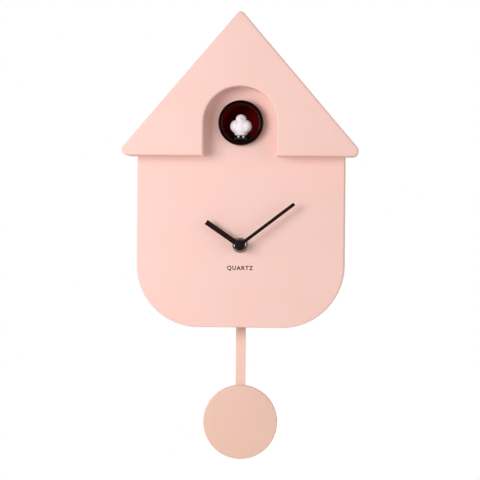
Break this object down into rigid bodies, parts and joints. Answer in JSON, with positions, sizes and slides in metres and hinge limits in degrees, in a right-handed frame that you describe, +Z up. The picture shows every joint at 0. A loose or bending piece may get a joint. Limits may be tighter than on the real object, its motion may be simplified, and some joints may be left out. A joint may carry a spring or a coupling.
{
  "type": "cuckoo clock",
  "caption": "House-shaped wall cuckoo clock with a thick gable roof, arched cuckoo window, two plain hands and a hanging pendulum disc.",
  "frame": {"origin": "centre of the round end of the wall keyhole, on the plane of the wall", "axes": "+X to the clock's right as seen from the front, +Y back into the wall, +Z up; the front faces -Y"},
  "size_m": [0.2128, 0.082, 0.407],
  "materials": {
    "shell": "fine satin moulded texture",
    "bob": "satin moulded",
    "rod": "satin powder coat",
    "hands": "satin black lacquer",
    "ring": "gloss black",
    "nut": "black chrome",
    "tunnel": "matt dark red",
    "bird_white": "satin white",
    "inner_black": "moulded black",
    "controls": "moulded dark grey",
    "steel": "zinc plated",
    "magnet": "dark sintered",
    "brass": "turned",
    "coil": "enamelled copper wire",
    "gears": "natural acetal",
    "board": "solder mask",
    "chip": "epoxy",
    "sensor": "clear epoxy",
    "cone": "pressed paper",
    "cell": "shrink sleeve",
    "rubber": "matt"
  },
  "bodies": {
    "case": {"dial_shell": "shell", "roof_shell": "shell", "rear_cover": "shell", "cuckoo_ring": "ring", "mounting_nut": "nut", "bird_tunnel": "tunnel", "cuckoo_frame": "inner_black", "movement_front_case": "inner_black", "movement_rear_case": "inner_black", "mode_switch_body": "inner_black", "volume_pot": "inner_black", "hanger_plate": "steel", "hanger_screws": "steel", "case_screws": "steel", "inner_screws": "steel", "metal_washer": "steel", "cuckoo_motor": "steel", "speaker_basket": "steel", "stator": "steel", "speaker_magnet": "magnet", "rotor": "magnet", "cell_contacts": "brass", "aa_contacts": "brass", "drive_coil": "coil", "pendulum_coil": "coil", "circuit_board": "board", "sound_board": "board", "sound_chip": "chip", "light_sensor": "sensor", "speaker_cone": "cone", "c_cells": "cell", "aa_cell": "cell", "rubber_washer": "rubber"},
    "battery_door": {"battery_door": "shell"},
    "volume_knob": {"volume_knob": "controls"},
    "mode_switch_knob": {"mode_switch_knob": "controls"},
    "test_button": {"test_button": "controls"},
    "minute_train": {"minute_hand": "hands", "hand_cap": "hands", "minute_arbor": "brass", "cannon_pinion": "brass", "minute_wheel": "gears"},
    "hour_train": {"hour_hand": "hands", "hour_wheel": "gears"},
    "motion_train": {"motion_wheel": "gears", "setting_knob": "inner_black"},
    "third_train": {"third_wheel": "gears"},
    "seconds_train": {"seconds_wheel": "gears"},
    "pendulum": {"pendulum_arm": "inner_black", "arm_magnet": "magnet", "pendulum_rod": "rod", "pendulum_bob": "bob"},
    "cuckoo": {"bird": "bird_white", "bird_carriage": "inner_black"},
    "drive_train": {"pinion_shaft": "steel", "rack_pinion": "gears", "reduction_gear": "gears"},
    "motor_train": {"motor_pinion": "brass"}
  },
  "joints": [
    {"name": "battery_door_lift", "type": "slide", "parent": "case", "child": "battery_door", "axis": [0, 1, 0], "range_m": [0, 0.04]},
    {"name": "volume_turn", "type": "hinge", "parent": "case", "child": "volume_knob", "pos_m": [0.059, -0.005, -0.187], "axis": [0, 1, 0], "range_deg": [0, 280]},
    {"name": "mode_switch_slide", "type": "slide", "parent": "case", "child": "mode_switch_knob", "axis": [1, 0, 0], "range_m": [0, 0.0044]},
    {"name": "test_button_press", "type": "slide", "parent": "case", "child": "test_button", "axis": [0, -1, 0], "range_m": [0, 0.001], "stiffness_N_per_m": 400},
    {"name": "minute_turn", "type": "hinge", "parent": "case", "child": "minute_train", "pos_m": [0, -0.05, -0.15], "axis": [0, 1, 0], "continuous": true},
    {"name": "hour_turn", "type": "hinge", "parent": "case", "child": "hour_train", "pos_m": [0, -0.05, -0.15], "axis": [0, 1, 0], "continuous": true},
    {"name": "motion_turn", "type": "hinge", "parent": "case", "child": "motion_train", "pos_m": [-0.01206, -0.05, -0.14304], "axis": [0, 1, 0], "continuous": true},
    {"name": "third_turn", "type": "hinge", "parent": "case", "child": "third_train", "pos_m": [0.01178, -0.05, -0.1432], "axis": [0, 1, 0], "continuous": true},
    {"name": "seconds_turn", "type": "hinge", "parent": "case", "child": "seconds_train", "pos_m": [0.00959, -0.05, -0.13079], "axis": [0, 1, 0], "continuous": true},
    {"name": "pendulum_swing", "type": "hinge", "parent": "case", "child": "pendulum", "pos_m": [0, -0.05, -0.135], "axis": [0, 1, 0], "range_deg": [-6, 6]},
    {"name": "bird_slide", "type": "slide", "parent": "case", "child": "cuckoo", "axis": [0, -1, 0], "range_m": [0, 0.026]},
    {"name": "drive_turn", "type": "hinge", "parent": "case", "child": "drive_train", "pos_m": [0, -0.042, -0.0614], "axis": [1, 0, 0], "range_deg": [-1, 250]},
    {"name": "motor_turn", "type": "hinge", "parent": "case", "child": "motor_train", "pos_m": [0, -0.042, -0.0764], "axis": [1, 0, 0], "range_deg": [-1250, 5]}
  ],
  "couplings": [
    {"joint": "hour_turn", "follows": "minute_turn", "ratio": 0.083333},
    {"joint": "motion_turn", "follows": "minute_turn", "ratio": -0.33333},
    {"joint": "third_turn", "follows": "minute_turn", "ratio": -7.5},
    {"joint": "seconds_turn", "follows": "minute_turn", "ratio": 60},
    {"joint": "drive_turn", "follows": "bird_slide", "rad_per_m": 166.67},
    {"joint": "motor_turn", "follows": "bird_slide", "rad_per_m": -833.33}
  ]
}
